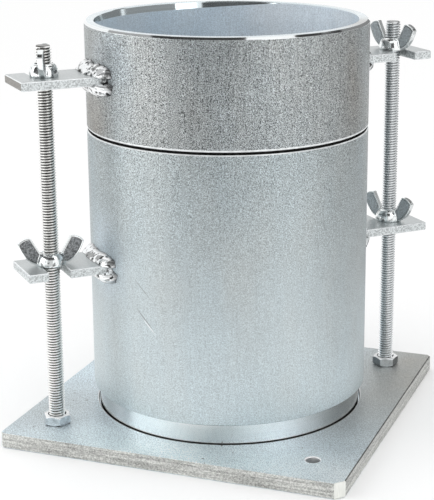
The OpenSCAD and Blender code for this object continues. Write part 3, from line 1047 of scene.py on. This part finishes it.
def make_tubes(grime_and_shade):
    # The foot's three darker patches are painted dark reflections between the lamps' highlights
    turned = turned_zinc("turned_zinc", FOOT_BRIGHT, 0.18, [
        (shade(FOOT_BRIGHT, 0.6), on_tube(-1, FOOT_TOP), (0.035, 0.035, 0.06), 0.9),
        (shade(FOOT_BRIGHT, 0.7), on_tube(59, FOOT_TOP), (0.025, 0.025, 0.06), 0.9),
        (shade(FOOT_BRIGHT, 0.45), on_tube(128, FOOT_TOP), (0.06, 0.06, 0.06), 1),
    ])
    # The bore's pale patch is painted light on one side of its inside wall
    bore = grained_zinc(
        "bore_zinc", (0, SEAM_Z), (BORE_ZINC, BORE_ZINC), 0.48, (0.2, 0.2), 0.6 * MM, 0.04,
        stains=[((0.82, 0.88, 0.93), on_tube(190, 0.21), (0.12, 0.12, 0.1), 1)], metallic=0.25,
    )
    wear_and_highlight = worn_and_highlight_zinc("worn_and_highlight_zinc", WORN_AND_HIGHLIGHT_ZINC, 0.22)
    # The body is painted lighter towards its foot, as light thrown up from the floor
    body = grained_zinc(
        "plated_tube", (FOOT_TOP, SEAM_Z), (BOTTOM_LIT_ZINC, TUBE_ZINC), 0.47, (0.22, 0.6), 0.58 * MM, 0.035,
        stains=[(BLUE_ZINC, on_tube(8, 0.11), (0.03, 0.03, 0.04), 0.7)],
        scratches=[
            (on_tube(23.8, 0.1055), on_tube(35.6, 0.0905), SCRATCH_DARK, 0.75),
            (on_tube(24.8, 0.0885), on_tube(35.8, 0.0735), SCRATCH_DARK, 1),
            (on_tube(28.8, 0.0818), on_tube(36.6, 0.0712), WORN_AND_HIGHLIGHT_ZINC, 1),
        ],
    )
    dress(mould_tube(), [body, turned, bore, wear_and_highlight, grime_and_shade], "mould", "mould_body", tube_rule)
    collar = grained_zinc(
        "plated_collar", (SEAM_Z, COLLAR_TOP), (COLLAR_ZINC, COLLAR_ZINC), 0.46, (0.95, 0.95), 0.48 * MM,
        draw=0.12, stains=[
            (BROWN_ZINC, on_tube(-4, 0.188), (0.034, 0.034, 0.024), 0.9),
            (BROWN_ZINC, on_tube(125, 0.21), (0.018, 0.018, 0.045), 0.5),
            (BLUE_ZINC, on_tube(12, 0.224), (0.028, 0.028, 0.022), 0.7),
        ],
    )
    cone = turned_zinc("rim_cone", TURNED_ZINC, 0.1)
    chamfer = turned_zinc("rim_chamfer", (0.92, 0.95, 0.96), 0.07)
    finishes = [collar, rim_zinc(TURNED_ZINC), cone, bore, wear_and_highlight, grime_and_shade, chamfer]
    piece = lathe("collar", collar_outline)
    dress(piece, finishes, "collar", "extension_collar", collar_rule)


def make_lugs():
    faces = [
        bar_face("plated_lug", BAR_ZINC, 0.36, 0.1, 0.01 * MM),
        bar_face("lug_side", shade(BAR_ZINC, 1.12), 0.42, 0.45, 0.03 * MM),
        worn_and_highlight_zinc("lug_edge", WORN_AND_HIGHLIGHT_ZINC, 0.24),
        # One lug's far end is painted darker than the others
        bar_face("dark_end", (0.27, 0.26, 0.24), 0.4, 0.2, 0.02 * MM),
    ]
    weld = weld_metal()
    seed = 1
    for part, body, opens in (("body", "mould", 1), ("collar", "collar", -1)):
        for side in SIDES:
            node = f"{part}_lug_{side}"
            rule = dark_end_rule(side) if node == "collar_lug_left" else bar_rule
            dress(lug(node, side, opens), faces, body, node, rule)
            for place, way in (("upper", 1), ("lower", -1)):
                node = f"weld_{part}_{side}_{place}"
                seed += 1
                dress(weld_bead(node, side, way, seed), [weld], body, node)


def make_wing_nuts():
    blank = wing_nut_blank()
    mark_wing_faces(blank)
    # The four wing nuts are one cast part: the left ones get a dark copy of its cast faces as painted shade,
    # the right ones a light copy as painted light
    finishes = {
        "left": cast_nut("left", (0.26, 0.272, 0.28), 0.6),
        "right": cast_nut("right", (0.58, 0.625, 0.65), 0.2),
    }
    for level in ("lower", "upper"):
        for side in SIDES:
            node = f"wing_nut_{level}_{side}"
            dress(wing_nut(blank, node, side), [finishes[side]], f"nut_{level}_{side}", node)
    bpy.data.objects.remove(blank)


# The photograph's viewing angle, about the tube's axis
CAMERA_AZIMUTH = radians(20.01)
CAMERA_ELEVATION = radians(15)
CAMERA_ROLL = radians(-0.2)
CAMERA_DISTANCE = 874.7 * MM
CAMERA_HEIGHT = 125.52 * MM
CAMERA_ASIDE = 9.955 * MM
FOCAL_LENGTH = 105.18
CAMERA_SHIFT = (-0.056, -0.08)

FLOOR_REACH = 20

# The lamps: angle from the camera's side, lowest and highest edge, width and radiance
LAMP_DISTANCE = 0.55
LAMPS = {
    "lamp_left": (-72, 0.12, 0.75, 0.45, 1.1),
    "lamp_right": (46, 0.26, 0.75, 0.32, 0.95),
}

# The cards that the metal reflects: standing ones have two angles, heights and a grey, and the ones on the
# floor two angles, two radii and a grey.
CARD_DISTANCE = 0.42
CARD_LIFT = 0.5 * MM
LOW, MIDDLE, HIGH = (0, 0.1), (0.1, 0.25), (0.25, 0.5)
STANDING_CARDS = {
    "low_front": (-50, 34, LOW, 0.62),
    "low_right": (66, 140, LOW, 0.58),
    "low_left": (-150, -98, LOW, 0.72),
    "front": (-34, 6, MIDDLE, 0.6),
    "right": (84, 128, MIDDLE, 0.64),
    "high_front": (-80, 25, HIGH, 0.1),
    "high_right": (53, 114, HIGH, 0.31),
    "behind_right": (119, 156, (0.25, 0.6), 0.24),
}
FLOOR_CARDS = {
    "floor_right": (66, 130, 0.16, 0.4, 0.74),
    "floor_behind": (136, 178, 0.16, 0.5, 0.25),
}

# Cards that hang above, by their corners to the right of the axis and away from the camera, and a grey
HANGING_HEIGHT = 1.15
HANGING_CARDS = {
    "left": ([(-0.62, -0.6), (0.15, -0.6), (0.15, 0), (-0.5, 0.12), (-0.62, 0.18)], 0.05),
    "far_left": ([(-1.15, -0.1), (-0.62, -0.6), (-0.62, 0.18), (-0.9, 0.5), (-1, 0.9), (-1.3, 0.9)], 0.4),
    "right": ([(0.55, -0.6), (1.05, -0.1), (1.3, 0.8), (1, 0.8), (0.8, 0.35), (0.55, 0.1)], 0.05),
}


def make_camera():
    data = bpy.data.cameras.new("camera")
    data.lens, data.sensor_width = FOCAL_LENGTH, 36
    data.shift_x, data.shift_y = CAMERA_SHIFT
    camera = placed("camera", data)
    turn = Matrix.Rotation(CAMERA_AZIMUTH, 4, "Z") @ Matrix.Rotation(pi / 2 - CAMERA_ELEVATION, 4, "X")
    away = Matrix.Translation((CAMERA_ASIDE, 0, CAMERA_DISTANCE)) @ Matrix.Rotation(CAMERA_ROLL, 4, "Z")
    camera.matrix_world = Matrix.Translation((0, 0, CAMERA_HEIGHT)) @ turn @ away
    bpy.context.scene.camera = camera


def round_from_camera(angle, distance):
    """A point beside the object, at an angle about its axis from the camera's side towards the right."""
    return polar(distance, CAMERA_AZIMUTH - pi / 2 + radians(angle))


def softbox(name, angle, low, high, width, radiance):
    """An upright soft lamp beside the object, out of the camera's sight."""
    data = bpy.data.lights.new(name, "AREA")
    data.shape, data.size, data.size_y = "RECTANGLE", width, high - low
    data.energy = radiance * pi * width * (high - low)
    lamp = placed(name, data)
    beside = round_from_camera(angle, LAMP_DISTANCE)
    lamp.location = (*beside, (low + high) / 2)
    lamp.rotation_euler = beside.to_3d().to_track_quat("Z", "Y").to_euler()
    lamp.visible_camera = False


def standing_card(name, start, end, levels, grey):
    """An upright card, curved round the object from one angle to another."""
    points, faces = [], []
    for i in range(CARD_STEPS + 1):
        foot = round_from_camera(start + (end - start) * i / CARD_STEPS, CARD_DISTANCE)
        points += [(*foot, level) for level in levels]
        if i:
            faces.append((2 * i - 2, 2 * i, 2 * i + 1, 2 * i - 1))
    reflected_card(name, points, faces, grey)


def floor_card(name, start, end, near, far, grey):
    """A level card on the floor: a part of a ring round the object."""
    angles = [start + (end - start) * i / 8 for i in range(9)]
    points = [round_from_camera(a, near) for a in angles] + [round_from_camera(a, far) for a in angles[::-1]]
    level_card(name, points, CARD_LIFT, grey)


def level_card(name, corners, height, grey):
    reflected_card(name, [(*corner, height) for corner in corners], [tuple(range(len(corners)))], grey)


def reflected_card(name, points, faces, grey):
    """A grey card that only the metal's reflections see, as in a product studio."""
    name = "card_" + name
    mesh = bpy.data.meshes.new(name)
    mesh.from_pydata(points, [], faces)
    card = placed(name, mesh)
    material = bpy.data.materials.new(name)
    material.use_nodes = True
    tree = material.node_tree
    tree.nodes.clear()
    glow = tree.nodes.new("ShaderNodeEmission")
    glow.inputs["Color"].default_value = (grey, grey, grey, 1)
    output = tree.nodes.new("ShaderNodeOutputMaterial")
    tree.links.new(glow.outputs[0], output.inputs["Surface"])
    mesh.materials.append(material)
    card.visible_camera = card.visible_diffuse = card.visible_shadow = False


def make_floor():
    mesh = bpy.data.meshes.new("floor")
    corners = [(x * FLOOR_REACH, y * FLOOR_REACH, 0) for x, y in ((-1, -1), (1, -1), (1, 1), (-1, 1))]
    mesh.from_pydata(corners, [], [(0, 1, 2, 3)])
    floor = placed("floor", mesh)
    floor.location.z = -0.2 * MM
    look = Look("floor", (0.99, 0.99, 0.99), 0.9, metallic=0)
    look.set({"Specular IOR Level": 0})
    mesh.materials.append(look.material)


def make_light():
    world = bpy.data.worlds.new("world")
    bpy.context.scene.world = world
    world.use_nodes = True
    world.node_tree.nodes["Background"].inputs["Color"].default_value = (1, 1, 1, 1)
    for name, lamp in LAMPS.items():
        softbox(name, *lamp)
    for name, card in STANDING_CARDS.items():
        standing_card(name, *card)
    for name, card in FLOOR_CARDS.items():
        floor_card(name, *card)
    turn = Matrix.Rotation(CAMERA_AZIMUTH, 2)
    for name, (corners, grey) in HANGING_CARDS.items():
        level_card("above_" + name, [turn @ Vector(corner) for corner in corners], HANGING_HEIGHT, grey)


# One near-black finish for the joints, dark with oil and painted shade, and for painted shade under and
# inside parts
shared_grime_and_shade = grime_and_painted_shade()
make_base(shared_grime_and_shade)
make_tubes(shared_grime_and_shade)
make_lugs()
make_wing_nuts()
make_camera()
make_floor()
make_light()
bpy.context.scene.view_settings.view_transform = "Standard"
